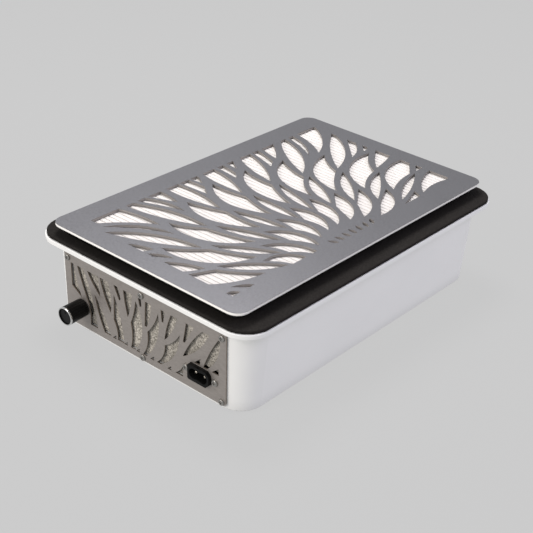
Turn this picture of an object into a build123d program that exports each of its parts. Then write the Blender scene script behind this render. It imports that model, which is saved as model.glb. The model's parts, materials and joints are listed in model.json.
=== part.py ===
"""Desktop nail dust collector.

A tapered tray with a flat flange holds two blowers and their power supply.  A pleated filter drops
into a seat under the flange, a steel hand-rest plate with a leaf pattern lies on the filter, and the
air leaves through a foam-backed steel panel on the short end that also carries the mains inlet and
the speed knob.

Frame: millimetres, +Z up, +X along the length, exhaust panel on -X, origin under the middle of the
whole object on the surface that it stands on.
"""
from build123d import *
from math import cos, degrees, radians, sin, tan
import os

# ---------------------------------------------------------------- driving dimensions
FOOT_PROUD = 2.0            # how far the rubber feet lift the tray
BODY_LENGTH = 291.8         # tray at its lowest edge
BODY_WIDTH = 193.2
BODY_CORNER_R = 20.0
BODY_DRAFT = 2.59           # degrees, the walls lean outwards
BODY_BASE_R = 1.0           # rounding of the tray's lowest edge
WALL = 3.0
RIM_LENGTH = 314.0
RIM_WIDTH = 215.6
RIM_CORNER_R = 21.0
RIM_BOTTOM = 70.7
RIM_TOP = 74.8
RIM_EDGE_R = 0.8
CUT_OVER = 1.0              # how far a cutting shape runs past the face that it opens

GASKET_LENGTH = 313.0
GASKET_WIDTH = 214.5
GASKET_THICK = 2.8
GASKET_CORNER_R = 21.5
GASKET_WINDOW_GAP = 1.0     # between the foam sheet and the filter, each side

PLATE_LENGTH = 305.0
PLATE_WIDTH = 188.0
PLATE_THICK = 2.0
PLATE_TOP = 86.8
PLATE_CORNER_R = 10.0
WINDOW_HALF_X = 135.6       # the cut pattern stops at this rectangle
WINDOW_HALF_Y = 73.6

FILTER_LENGTH = 287.0
FILTER_WIDTH = 168.0
FILTER_WALL = 4.0
FILTER_CORNER_R = 4.0
FILTER_GASKET_THICK = 2.0
FILTER_GASKET_WIDTH = 5.5
FILTER_SILL = 1.5           # thickness of the ledge that carries the pleats
FILTER_SILL_REACH = 2.0
FILTER_UNDER_PLATE = 0.1
PLEAT_COUNT = 62
PLEAT_TOP = 84.5
PLEAT_BOTTOM = 66.0
PLEAT_SHEET = 1.0
PLEAT_PLAY = 0.1            # between the pleat pack and its frame, each side
SEAT_LIP_BOTTOM = 71.8      # the lip lies on the posts and closes the gap to the tray's wall
SEAT_LEDGE_BOTTOM = 60.0
SEAT_LEDGE_TOP = 62.3
SEAT_LEDGE_REACH = 7.0
SEAT_WALL = 1.6
SEAT_CLEARANCE = 0.5
SEAT_SCREW_SUNK = 1.6

PANEL_WIDTH = 164.0
PANEL_LOW = 4.9             # height of the panel's lower edge
PANEL_HIGH = 65.4
PANEL_THICK = 1.0
PANEL_LOW_CORNER_R = 3.0
PANEL_HIGH_CORNER_R = 1.0
PANEL_SCREW_X = 78.3
PANEL_SCREW_LOW = 7.5
PANEL_SCREW_HIGH = 61.5
EXHAUST_HALF_WIDTH = 76.5   # opening in the tray behind the panel
EXHAUST_LOW = 10.2
EXHAUST_HIGH = 59.0
EXHAUST_FOAM_THICK = 8.0
EXHAUST_FOAM_PLAY = 0.2

INLET_ACROSS = 58.0         # along the panel, from its middle
INLET_HEIGHT = 21.0
INLET_NOSE_WIDTH = 20.5
INLET_NOSE_HEIGHT = 13.0
INLET_NOSE_PROUD = 3.0
INLET_NOSE_CUT = 3.0        # the two outer corners are cut off
INLET_FLANGE_LENGTH = 34.4
INLET_FLANGE_THICK = 2.0
INLET_SCREW_SPACING = 28.0
INLET_PIN_SPACING = 8.6
INLET_PIN_R = 1.2
INLET_CAVITY_R = 4.3
INLET_CAVITY_DEPTH = 11.0

KNOB_ACROSS = -63.85
KNOB_HEIGHT = 23.45
KNOB_OFF_PANEL = 0.6
KNOB_LENGTH = 18.1
KNOB_FRONT_R = 7.5
KNOB_BASE_R = 7.1
KNOB_RING_WIDTH = 0.85
KNOB_FACE_R = 6.2
KNOB_FACE_SUNK = 0.8
KNOB_FACE_BED = 2.0         # depth of the seat that the face disc and the ring sit in
KNOB_RING_DEEP = 1.2
KNOB_HOLLOW_R = 6.0         # covers the nut
KNOB_HOLLOW_DEEP = 3.2
KNOB_FLUTES = 20
KNOB_FLUTE_R = 0.55
POT_SHAFT_R = 3.0
POT_FLAT = 1.4              # from the shaft's axis to its flat
POT_THREAD_R = 3.5
POT_BODY_R = 7.6
POT_NUT_THICK = 1.6
POT_WASHER_THICK = 0.5
SHAFT_CLEARANCE = 0.05

FLOOR_TOP = FOOT_PROUD + WALL
BULKHEAD_X = -112.0         # outer face of the wall between blowers and exhaust chamber
BULKHEAD_THICK = 2.5
DUCT_SEAL_THICK = 1.5
BLOWER_X = -58.0
BLOWER_Y = 46.0
BLOWER_R = 42.0
BLOWER_LOW = 9.0
BLOWER_HEIGHT = 32.0
BLOWER_WALL = 1.8
BLOWER_DUCT_WIDTH = 38.0
BLOWER_INLET_R = 27.0
BLOWER_EAR_R = 4.2
BLOWER_EAR_THICK = 2.5
BLOWER_EARS = [(-45.0, 1.5), (29.0, 34.4), (29.0, -34.4)]   # screw ears, from the blower's axis
IMPELLER_R = 36.0
IMPELLER_BLADES = 30
IMPELLER_RISE = 3.4         # gap between the case's floor and the wheel
ROTOR_R = 16.0
ROTOR_HEIGHT = 19.5
BEARING_TUBE_R = 4.6
BEARING_R = 3.0
BEARING_HEIGHT = 3.5
MOTOR_SHAFT_R = 1.5

PSU_X = 82.0
PSU_LENGTH = 104.0
PSU_WIDTH = 62.0
PSU_LOW = 11.0
PSU_BOARD_THICK = 1.6
PSU_HOLES = [(x, y) for x in (-47.0, 47.0) for y in (-26.0, 26.0)]

GROMMET_R = 6.4
GROMMET_NECK_R = 5.2
GROMMET_BORE_R = 4.2
GROMMET_LIP = 1.2
GROMMET_Y = -6.0
GROMMET_HEIGHT = 21.5

SMALL_SCREW_R = 1.25
FOOT_SCREW_R = 1.5
PANEL_SCREW_R = 1.4
INLET_SCREW_R = 1.5
PILOT_PLAY = 0.05
PILLAR_X = (-132.0, 6.0, 132.0)     # posts under the filter seat
PILLAR_Y = 90.4
PILLAR_R = 4.0
FOOT_PLACES = [(x, y) for x in (-125.0, 125.0) for y in (-76.0, 76.0)]
FOOT_R = 8.0
FOOT_RECESS = 1.0
FOOT_SCREW_SEAT = 1.2       # height of the screw head's seat above the desk
MAGNET_R = 1.5
MAGNET_PLACES = [(x, y) for x in (-141.5, 141.5) for y in (-82.0, 82.0)]

TAN_DRAFT = tan(radians(BODY_DRAFT))


def wall_half_length(z):
    """Half length of the tray's outside at height z."""
    return BODY_LENGTH / 2 + (z - FOOT_PROUD) * TAN_DRAFT


def wall_half_width(z):
    """Half width of the tray's outside at height z."""
    return BODY_WIDTH / 2 + (z - FOOT_PROUD) * TAN_DRAFT


# the knob stands out past the rim on -X only, so the tray sits off the middle of the whole object
KNOB_TIP = PANEL_THICK + KNOB_OFF_PANEL + KNOB_LENGTH
KNOB_REACH = wall_half_length(KNOB_HEIGHT) + KNOB_TIP * cos(radians(BODY_DRAFT))
KNOB_REACH += KNOB_FRONT_R * sin(radians(BODY_DRAFT))
TRAY_CENTRE_X = (KNOB_REACH - RIM_LENGTH / 2) / 2

# local frame of the exhaust panel: x across it (towards -Y), y up its slope, z out of the tray;
# its origin is on the wall's outside at height 0
PANEL_PLANE = Plane(
    origin=(-wall_half_length(0), 0, 0),
    x_dir=(0, -1, 0),
    z_dir=(-cos(radians(BODY_DRAFT)), 0, -sin(radians(BODY_DRAFT))),
)


def up_slope(z):
    """Distance up the panel's slope that reaches height z."""
    return z / cos(radians(BODY_DRAFT))


# ---------------------------------------------------------------- cut patterns
# Each opening is a ring of corners with, between every two corners, the point that its edge passes
# through; None is a straight edge.  Plate openings are in X, Y from the plate's middle.  Edges that
# run past the window are trimmed to it.
PLATE_OPENINGS = [
    # left end
    [(-130.3, 76), None, (-129.8, 67), (-112.5, 53), (-97.5, 34), (-97.6, 54), (-103, 76), None],
    [(-130.5, 60), (-113.4, 39.7), (-100.5, 16.5), (-109.2, 42.5)],
    [(-135.5, 53), (-121.4, 18.6), (-100.8, -12.5), (-110.4, 24.4)],
    [(-137, 30), None, (-137, 13.5), None, (-127.8, 9.5), (-130.5, 20)],
    [(-137, 9), None, (-137, 3.5), (-131.5, -3), (-127, -9.5), (-129.8, 2)],
    [(-122, 7.5), (-114.5, -29.6), (-82, -48.8), (-91.2, -33.6), (-98.5, -17.5), (-111.2, -6)],
    [(-137, -32), None, (-137, -50.5), (-118, -62.5), (-95.3, -68.3), (-108.5, -54), (-117, -41.2), None],
    [(-137, -7), None, (-137, -26), (-129, -31.5), (-121.3, -34.8), (-127, -19.5)],
    [(-113, -38.5), (-97.9, -59.8), (-75, -72.3), (-91.3, -52.6)],
    [(-137, -68.5), None, (-137, -76), None, (-127.5, -76), (-129.8, -70)],
    [(-127.5, -64.8), (-123, -69.3), (-117, -75), None, (-112, -75), (-119, -68)],
    # left of the middle
    [(-91, 31), (-91, -6.3), (-65, -33), (-72, -13.3), (-76.5, 7), (-84.9, 18.2)],
    [(-95, 77), (-88.4, 42), (-73.5, 8), (-74.8, 42), (-90, 77), None],
    [(-84.5, 77), (-75, 57.6), (-68, 37), (-67.8, 57.5), (-77, 77), None],
    [(-72.2, 77), None, (-61, 51), (-58, 63), (-57.8, 77), None],
    [(-50.3, 77), (-50.2, 46), (-44.3, 21.5), (-37.4, 49), (-38.5, 77), None],
    [(-35.8, 77), None, (-33.5, 45.5), None, (-25.5, 56.3), None, (-26.3, 77), None],
    [(-24, 77), None, (-22.4, 60.8), None, (-16.3, 71), None, (-16.3, 77), None],
    [
        (-17.5, 54.8), (-30.3, 37.5), (-34.2, 20), (-31, 4.5),
        (-22.7, -12.5), (-19.6, 5.5), (-14.6, 21.5), (-17.3, 38),
    ],
    [
        (-55.8, 46), (-63.3, 31), (-64.8, 16), (-58.2, -4.2),
        (-45.3, -21), (-46.6, -3), (-45.1, 14.5), (-51.2, 30),
    ],
    [(-40.6, 11.8), (-41.3, -12), (-31.8, -35.8), (-33.6, -8.8)],
    [(-68.6, 4), (-64.2, -22), (-49.6, -44.3), (-56.1, -18.9)],
    [
        (-68.8, -39.8), (-62.3, -50), (-59.8, -60.5), (-53.8, -65.8),
        (-47.8, -76), None, (-44, -76), (-49.3, -53),
    ],
    [(-84, -56.5), (-77, -63), (-70.5, -76), None, (-56, -76), (-66, -59)],
    [(-93.5, -14.8), (-83.4, -39.4), (-64.2, -57.8), (-76.3, -34.5)],
    [(-50, -27), (-46.2, -37.5), (-45.3, -49.3), (-40, -57.5), (-35.6, -69.3), (-32.8, -44.8)],
    [(-28, -19.8), (-27.4, -31), (-29.6, -41), (-26, -50), (-24.8, -62.8), (-16.6, -37)],
    # middle
    [(-9.2, 19), (-16.9, -6), (-12.8, -31), (-8.1, -7)],
    [(-4.8, -14.5), (-7.7, -26), (-11.8, -36), (-10, -46), (-12, -59), (2.4, -34)],
    [(-8.3, 77), (-12.9, 52), (-11.8, 27.5), (-0.4, 51.2), (4.2, 77), None],
    [(9, 77), None, (5.2, 49), None, (12.2, 56.5), None, (15.8, 77), None],
    [(20.2, 77), None, (18.3, 60.5), None, (30, 77), None],
    [(21.5, 54.5), (4, 38.2), (-3, 14), (-2, 0), (1.8, -11.3), (8.2, 5.5), (17, 21.8), (17.3, 38)],
    [(22, 18.3), (8.9, -4.3), (6.8, -30.3), (16.5, -6.6)],
    [(18.8, -15.5), None, (6.8, -34.5), (5.2, -46), (0.6, -58.2), (18.6, -40.7)],
    [(38.5, 77), (26.4, 52), (21.2, 26.5), (39.3, 49.6), (49.8, 77), None],
    # right of the middle
    [(53, 77), (48.5, 60), (43.2, 44.8), None, (51.8, 50.3), (56.5, 63), (59.8, 77), None],
    [(65, 77), None, (58.4, 52.6), (70.5, 63), (81.5, 77), None],
    [(59.5, 45.8), (34.4, 29.9), (24.2, 2), None, (24.6, -14), (34.3, 1.5), (47.5, 13.3), (51.5, 30)],
    [(51.8, 10.8), (32.9, -7.6), (25.6, -33), (41.3, -12.6)],
    [(93.5, 77), (69.5, 50.3), (52.6, 18.6), (81, 42.9), (96, 77), None],
    [(94.5, 29), (60.3, 13.2), (46.6, -21.8), (60.3, -8.2), (76.5, 2), (83.9, 16.6)],
    [(79, -3), (56.8, -18.3), (43.5, -41.8), (63.3, -24.3)],
    [(42, -22.5), None, (24.3, -38.3), None, (14.5, -59.8), (35, -46)],
    [(62, -32), None, (41, -46), None, (26.3, -64.3), (49.8, -54.4)],
    [(79, -47), None, (57, -57.3), None, (38, -71.8), (63.1, -67)],
    # right end
    [(100.5, 77), (94.5, 57), (84.6, 37.8), (99.2, 55), (106.5, 77), None],
    [(112.3, 77), (106.8, 56), (95, 35.4), (120, 51.3), (138.5, 77), None],
    [(138.5, 55), (107.5, 32.8), (81.8, 4.6), (116.2, 23.1)],
    [(140, 40), None, (109.3, 10), (127, 18.3), (140, 33), None],
    [(139, 22), None, (126.5, 10.8), (132.3, 11.8), (139, 18), None],
    [(140, 7), (121, -5), (107, -17.3), (122, -14.4), (140, -9), None],
    [(126.5, 5.2), (88.4, -2.4), (67.4, -34.7), (82.5, -25), (100, -19.8), (111.3, -5.6)],
    [(101.5, -24), (76.4, -32.8), (59.5, -53.2), (81.5, -40)],
    [(140, -22.5), (106.5, -26.6), (83.4, -51.6), (100.4, -45.4), (118.3, -43.2), None, (140, -27.5), None],
    [(140, -35.5), (133, -38.8), (127.6, -43.8), None, (140, -44.2), None],
    [(121.5, -46), (95.5, -52.8), (72.8, -67.4), (98.2, -59.1)],
    [(92.5, -65.3), (79, -70), (60, -76), None, (86.5, -76), (90.5, -71)],
    [(140, -50.5), (116.2, -56.9), (96.6, -71.8), (113.5, -68.6), (132, -71), None, (140, -68), None],
]

# a plain row of seed-shaped slots near the front edge, fanned like the leaves above it
SEED_COUNT = 7
SEED_SPACING = 8.0
SEED_ROW_Y = -73.0
SEED_FAN = 1.3              # degrees of tilt for each millimetre from the middle
SEED_HALF_LENGTH = 4.2
SEED_HALF_WIDTH = 1.6

# Panel openings, across and up from the pattern's own origin, which PATTERN_ACROSS and PATTERN_UP
# place from the foot of the panel's slope
PATTERN_ACROSS = 0.9
PATTERN_UP = 1.6
PANEL_OPENINGS = [
    [(-76.2, 58), None, (-76.2, 36.3), None, (-65.8, 29.7), (-70.5, 44), (-73.3, 58), None],
    [
        (-69.8, 58), (-64.8, 43), (-58.5, 27), None, (-57, 18), None,
        (-57.3, 9), None, (-49.5, 9), (-53.8, 33.5), (-63, 58), None,
    ],
    [(-58.5, 57), (-52.5, 47.5), (-45, 39.3), None, (-46, 57), None],
    [(-51.2, 39), (-47.9, 23.6), (-42, 9), None, (-34.8, 9), (-42, 24.5)],
    [(-44.8, 58), (-41, 44), (-34.3, 30), (-33, 42), (-36.5, 58), None],
    [(-30.5, 58), None, (-24.3, 45.3), None, (-22.7, 47), None, (-25.5, 58), None],
    [(-30, 48), None, (-31.2, 25.3), (-28, 17.5), (-27.7, 9), None, (-20.8, 9), (-23.5, 29)],
    [(-19.8, 58), (-18.3, 45), (-15.8, 34.7), (-12.5, 44), (-10.3, 58), None],
    [(-7.2, 52.5), (-9.3, 41.5), (-12.9, 31.3), (-11.8, 20), (-13.4, 9), None, (-9, 9), (-0.8, 30)],
    [(-4.5, 57.5), None, (-2.8, 49.8), None, (-0.9, 50.3), None, (-1.2, 57.5), None],
    [(3, 58), (2.3, 46), (1.8, 35.2), None, (4, 35.2), (7.6, 46), (9, 58), None],
    [(15.8, 52), (10.5, 39.5), (4.3, 31), (3.9, 19.5), (-0.8, 9), None, (3, 9), (14.5, 30)],
    [(18.5, 57.5), None, (19.5, 46.8), None, (21, 46.8), None, (22.8, 57.5), None],
    [(29.3, 58), (24.8, 46), (21.9, 32.5), (28.5, 41), (35, 58), None],
    [(37, 43.5), (30.6, 34.6), (22, 27.8), (20.3, 18.5), (13.4, 9), None, (17.5, 9), (30, 21)],
    [(43.5, 58), (41.8, 48), (40.2, 39.5), None, (42, 39.5), (46.5, 48), (52, 58), None],
    [(60, 58), (48.7, 43.6), (40, 27), (54.8, 39.6), (66, 58), None],
    [(57.3, 33), None, (50.8, 27), None, (56.3, 27), None],
    [(74.8, 58), (66.3, 43), (59.7, 27), None, (63, 27), (72.5, 40), (75.5, 58), None],
    [(74.2, 32.5), None, (67.8, 27), None, (74.5, 27), None],
    [(40.3, 19.5), (37.5, 14), (32, 9), None, (39.8, 9), None],
]
PANEL_PATTERN_TOP = 56.5
PANEL_PATTERN_LOW = 8.8
PANEL_TEETH = [-31.0, -18.8, -5.8, 8.8, 26.3]   # small triangles along the lower edge
TOOTH_LOW = 8.6
TOOTH_HEIGHT = 3.4


# ---------------------------------------------------------------- small helpers
def edge_through(start, middle, end):
    """A straight edge, or the arc through the middle point."""
    if middle is None:
        return Line(start, end)
    return ThreePointArc(start, middle, end)


def opening_face(ring):
    """The face inside one ring of corners and edge points."""
    corners = ring[0::2]
    middles = ring[1::2]
    following = corners[1:] + corners[:1]
    edges = [edge_through(a, m, b) for a, m, b in zip(corners, middles, following)]
    return make_face(edges)


def lens_face(half_length, half_width):
    """A seed shape: two equal arcs."""
    tip_a = (-half_length, 0)
    tip_b = (half_length, 0)
    upper = ThreePointArc(tip_a, (0, half_width), tip_b)
    lower = ThreePointArc(tip_b, (0, -half_width), tip_a)
    return make_face([upper, lower])


def slab(length, width, corner_r, low, high):
    """An upright block with rounded corners between two heights."""
    outline = Pos(0, 0, low) * RectangleRounded(length, width, corner_r)
    return extrude(outline, high - low)


def upright(radius, low, high):
    """An upright round bar between two heights."""
    return Pos(0, 0, (low + high) / 2) * Cylinder(radius, high - low)


def block(x0, x1, y0, y1, z0, z1):
    """A block from its lowest to its highest corner."""
    return Pos((x0 + x1) / 2, (y0 + y1) / 2, (z0 + z1) / 2) * Box(x1 - x0, y1 - y0, z1 - z0)


def on_panel(shape, across=0.0, height=0.0, out=0.0):
    """Put a shape, drawn on the XY plane with +Z outwards, on the exhaust panel's slope."""
    return PANEL_PLANE.location * Pos(across, up_slope(height), out) * shape


def pan_screw(radius, length, head_r, head_height):
    """A cross-recess pan-head screw, head on +Z, seated at z = 0."""
    screw = upright(radius, -length, 0)
    head = upright(head_r, 0, head_height)
    head = fillet(head.edges().group_by(Axis.Z)[-1], head_height * 0.45)
    slot_length = head_r * 1.1
    slot_width = head_r * 0.24
    recess = Box(slot_length, slot_width, head_height) + Box(slot_width, slot_length, head_height)
    return screw + head - Pos(0, 0, head_height * 1.05) * recess


def ring(outer_r, inner_r, low, high):
    """An upright ring between two heights."""
    return upright(outer_r, low, high) - upright(inner_r, low - CUT_OVER, high + CUT_OVER)


def save(name, shape):
    """Write one named piece, moved from the tray's frame to the object's."""
    placed = Pos(TRAY_CENTRE_X, 0, 0) * shape
    solids = placed.solids()
    export_step(solids[0] if len(solids) == 1 else Compound(children=list(solids)), f"parts/{name}.step")


# ---------------------------------------------------------------- tray and its fittings
def tapered(length, width, corner_r, low, high):
    """A rounded block whose walls lean outwards with the tray's draft."""
    outline = Pos(0, 0, low) * RectangleRounded(length, width, corner_r)
    return extrude(outline, high - low, taper=-BODY_DRAFT)


def tray_cavity(inset, low, high):
    """The space inside the tray, inset by a wall, between two heights."""
    length = 2 * (wall_half_length(low) - inset)
    width = 2 * (wall_half_width(low) - inset)
    return tapered(length, width, BODY_CORNER_R - inset, low, high)


def seat_screw_places():
    """The six screws that hold the filter seat on its posts."""
    return [Pos(x, side * PILLAR_Y, 0) for x in PILLAR_X for side in (-1, 1)]


def seat_posts():
    """Round posts under the filter seat, each tied to the long wall by a rib."""
    posts = []
    for x in PILLAR_X:
        for side in (-1, 1):
            post = Pos(x, side * PILLAR_Y, 0) * upright(PILLAR_R, FLOOR_TOP - 1, SEAT_LIP_BOTTOM)
            rib = block(x - 1.5, x + 1.5, 90, 100, FLOOR_TOP - 1, SEAT_LIP_BOTTOM - 1.8)
            rib = rib if side > 0 else mirror(rib, about=Plane.XZ)
            posts.append((post + rib) & tray_cavity(1.0, FLOOR_TOP - 1, SEAT_LIP_BOTTOM))
    return posts


def blower_screw_places():
    return [Pos(BLOWER_X + x, side * BLOWER_Y + y, 0) for side in (-1, 1) for x, y in BLOWER_EARS]


def make_tray():
    shell = tapered(BODY_LENGTH, BODY_WIDTH, BODY_CORNER_R, FOOT_PROUD, RIM_TOP - 1)
    shell = fillet(shell.edges().group_by(Axis.Z)[0], BODY_BASE_R)
    flange = slab(RIM_LENGTH, RIM_WIDTH, RIM_CORNER_R, RIM_BOTTOM, RIM_TOP)
    flange = fillet(flange.edges().group_by(Axis.Z)[-1] + flange.edges().group_by(Axis.Z)[0], RIM_EDGE_R)
    tray = shell + flange - tray_cavity(WALL, FLOOR_TOP, RIM_TOP + CUT_OVER)
    tray += seat_posts()
    for place in seat_screw_places():
        tray -= place * upright(SMALL_SCREW_R, 62, SEAT_LIP_BOTTOM + CUT_OVER)
    for place in blower_screw_places():
        tray += place * upright(3.4, FLOOR_TOP - 1, BLOWER_LOW)
        tray -= place * upright(SMALL_SCREW_R + PILOT_PLAY, FLOOR_TOP - 1, BLOWER_LOW + CUT_OVER)
    exhaust = Rectangle(2 * EXHAUST_HALF_WIDTH, up_slope(EXHAUST_HIGH - EXHAUST_LOW))
    tray -= on_panel(extrude(exhaust, 5, both=True), 0, (EXHAUST_HIGH + EXHAUST_LOW) / 2)
    for across, height in panel_screw_places():
        tray -= on_panel(Cylinder(PANEL_SCREW_R + PILOT_PLAY, 14), across, height)
    for x, y in FOOT_PLACES:
        tray -= Pos(x, y, 0) * upright(FOOT_R + 0.1, 0, FOOT_PROUD + FOOT_RECESS)
        tray -= Pos(x, y, 0) * upright(FOOT_SCREW_R + PILOT_PLAY, 0, FLOOR_TOP + CUT_OVER)
    return tray


def make_rubber_feet():
    foot_top = FOOT_PROUD + FOOT_RECESS
    foot = upright(FOOT_R, 0, foot_top)
    foot = chamfer(foot.edges().group_by(Axis.Z)[0], 0.5)
    foot -= upright(3.4, -CUT_OVER, FOOT_SCREW_SEAT)
    foot -= upright(FOOT_SCREW_R + PILOT_PLAY, -CUT_OVER, foot_top + CUT_OVER)
    return [Pos(x, y, 0) * foot for x, y in FOOT_PLACES]


def make_feet_screws():
    screw = pan_screw(radius=FOOT_SCREW_R, length=4.6, head_r=3.0, head_height=0.9)
    return [Pos(x, y, FOOT_SCREW_SEAT) * Rot(180, 0, 0) * screw for x, y in FOOT_PLACES]


def make_foam_gasket():
    sheet = RectangleRounded(GASKET_LENGTH, GASKET_WIDTH, GASKET_CORNER_R)
    window_length = FILTER_LENGTH + 2 * GASKET_WINDOW_GAP
    window_width = FILTER_WIDTH + 2 * GASKET_WINDOW_GAP
    sheet -= RectangleRounded(window_length, window_width, FILTER_CORNER_R + GASKET_WINDOW_GAP)
    return Pos(0, 0, RIM_TOP) * extrude(sheet, GASKET_THICK)


def make_filter_seat():
    """A lip on the posts and a shallow well with a ledge that the filter's gasket lies on."""
    lip_gap = WALL + SEAT_CLEARANCE
    lip_length = 2 * (wall_half_length(SEAT_LIP_BOTTOM) - lip_gap)
    lip_width = 2 * (wall_half_width(SEAT_LIP_BOTTOM) - lip_gap)
    seat = slab(lip_length, lip_width, BODY_CORNER_R, SEAT_LIP_BOTTOM, RIM_TOP)
    well_length = FILTER_LENGTH + 2 * SEAT_CLEARANCE
    well_width = FILTER_WIDTH + 2 * SEAT_CLEARANCE
    outer_length = well_length + 2 * SEAT_WALL
    outer_width = well_width + 2 * SEAT_WALL
    seat += slab(outer_length, outer_width, FILTER_CORNER_R + 2, SEAT_LEDGE_BOTTOM, RIM_TOP)
    well_corner_r = FILTER_CORNER_R + SEAT_CLEARANCE
    seat -= slab(well_length, well_width, well_corner_r, SEAT_LEDGE_TOP, RIM_TOP + CUT_OVER)
    air_length = FILTER_LENGTH - 2 * SEAT_LEDGE_REACH
    air_width = FILTER_WIDTH - 2 * SEAT_LEDGE_REACH
    seat -= slab(air_length, air_width, 3.0, SEAT_LEDGE_BOTTOM - CUT_OVER, RIM_TOP)
    seat &= tray_cavity(WALL + 0.4, FLOOR_TOP, RIM_TOP)
    for place in seat_screw_places():
        seat -= place * upright(1.6, SEAT_LIP_BOTTOM - CUT_OVER, RIM_TOP + CUT_OVER)
        seat -= place * upright(3.0, RIM_TOP - SEAT_SCREW_SUNK, RIM_TOP + CUT_OVER)
    return seat


def make_seat_screws():
    screw = pan_screw(radius=SMALL_SCREW_R, length=9.0, head_r=2.7, head_height=1.4)
    return [place * Pos(0, 0, RIM_TOP - SEAT_SCREW_SUNK) * screw for place in seat_screw_places()]


# ---------------------------------------------------------------- filter and hand-rest plate
FILTER_LOW = SEAT_LEDGE_TOP + FILTER_GASKET_THICK
FILTER_HIGH = PLATE_TOP - PLATE_THICK - FILTER_UNDER_PLATE
FILTER_INNER_LENGTH = FILTER_LENGTH - 2 * FILTER_WALL
FILTER_INNER_WIDTH = FILTER_WIDTH - 2 * FILTER_WALL
MAGNET_LOW = FILTER_HIGH - 2.5


def make_filter_gasket():
    outer_length = FILTER_LENGTH - 1
    outer_width = FILTER_WIDTH - 1
    inner_length = outer_length - 2 * FILTER_GASKET_WIDTH
    inner_width = outer_width - 2 * FILTER_GASKET_WIDTH
    gasket = slab(outer_length, outer_width, FILTER_CORNER_R, SEAT_LEDGE_TOP, FILTER_LOW)
    return gasket - slab(inner_length, inner_width, 2.0, SEAT_LEDGE_TOP - CUT_OVER, FILTER_LOW + CUT_OVER)


def make_filter_frame():
    sill_top = FILTER_LOW + FILTER_SILL
    air_length = FILTER_INNER_LENGTH - 2 * FILTER_SILL_REACH
    air_width = FILTER_INNER_WIDTH - 2 * FILTER_SILL_REACH
    frame = slab(FILTER_LENGTH, FILTER_WIDTH, FILTER_CORNER_R, FILTER_LOW, FILTER_HIGH)
    frame -= slab(FILTER_INNER_LENGTH, FILTER_INNER_WIDTH, 0.3, sill_top, FILTER_HIGH + CUT_OVER)
    frame -= slab(air_length, air_width, 2.0, FILTER_LOW - CUT_OVER, sill_top + CUT_OVER)
    for x, y in MAGNET_PLACES:
        frame -= Pos(x, y, 0) * upright(MAGNET_R, MAGNET_LOW, FILTER_HIGH + CUT_OVER)
    return frame


def make_plate_magnets():
    return [Pos(x, y, 0) * upright(MAGNET_R, MAGNET_LOW, FILTER_HIGH) for x, y in MAGNET_PLACES]


def make_pleat_pack():
    """A zigzag sheet whose folds run across the filter, along Y."""
    span = FILTER_INNER_LENGTH - 2 * PLEAT_PLAY
    width = FILTER_INNER_WIDTH - 2 * PLEAT_PLAY
    pitch = span / PLEAT_COUNT
    left = -span / 2
    upper = []
    for fold in range(PLEAT_COUNT):
        upper.append((left + fold * pitch, PLEAT_BOTTOM + PLEAT_SHEET))
        upper.append((left + (fold + 0.5) * pitch, PLEAT_TOP))
    upper.append((left + span, PLEAT_BOTTOM + PLEAT_SHEET))
    drop = 2 * PLEAT_SHEET
    lower = [(x, z - drop) for x, z in reversed(upper[1:-1])]
    lower = [(x, max(z, PLEAT_BOTTOM)) for x, z in lower]
    lower = [(left + span, PLEAT_BOTTOM)] + lower + [(left, PLEAT_BOTTOM)]
    outline = make_face(Polyline(upper + lower, close=True))
    return Pos(0, width / 2, 0) * extrude(Plane.XZ * outline, width)


def make_grille_plate():
    plate = RectangleRounded(PLATE_LENGTH, PLATE_WIDTH, PLATE_CORNER_R)
    window = Rectangle(2 * WINDOW_HALF_X, 2 * WINDOW_HALF_Y)
    for opening in PLATE_OPENINGS:
        plate -= opening_face(opening) & window
    for seed in range(SEED_COUNT):
        x = (seed - (SEED_COUNT - 1) / 2) * SEED_SPACING
        seed_face = lens_face(SEED_HALF_LENGTH, SEED_HALF_WIDTH)
        plate -= Pos(x, SEED_ROW_Y) * Rot(0, 0, 90 - SEED_FAN * x) * seed_face
    return Pos(0, 0, PLATE_TOP - PLATE_THICK) * extrude(plate, PLATE_THICK)


# ---------------------------------------------------------------- exhaust end
def panel_screw_places():
    """Across and height of the panel's six screws."""
    row = (-PANEL_SCREW_X, 0.0, PANEL_SCREW_X)
    return [(across, height) for height in (PANEL_SCREW_LOW, PANEL_SCREW_HIGH) for across in row]


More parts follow.
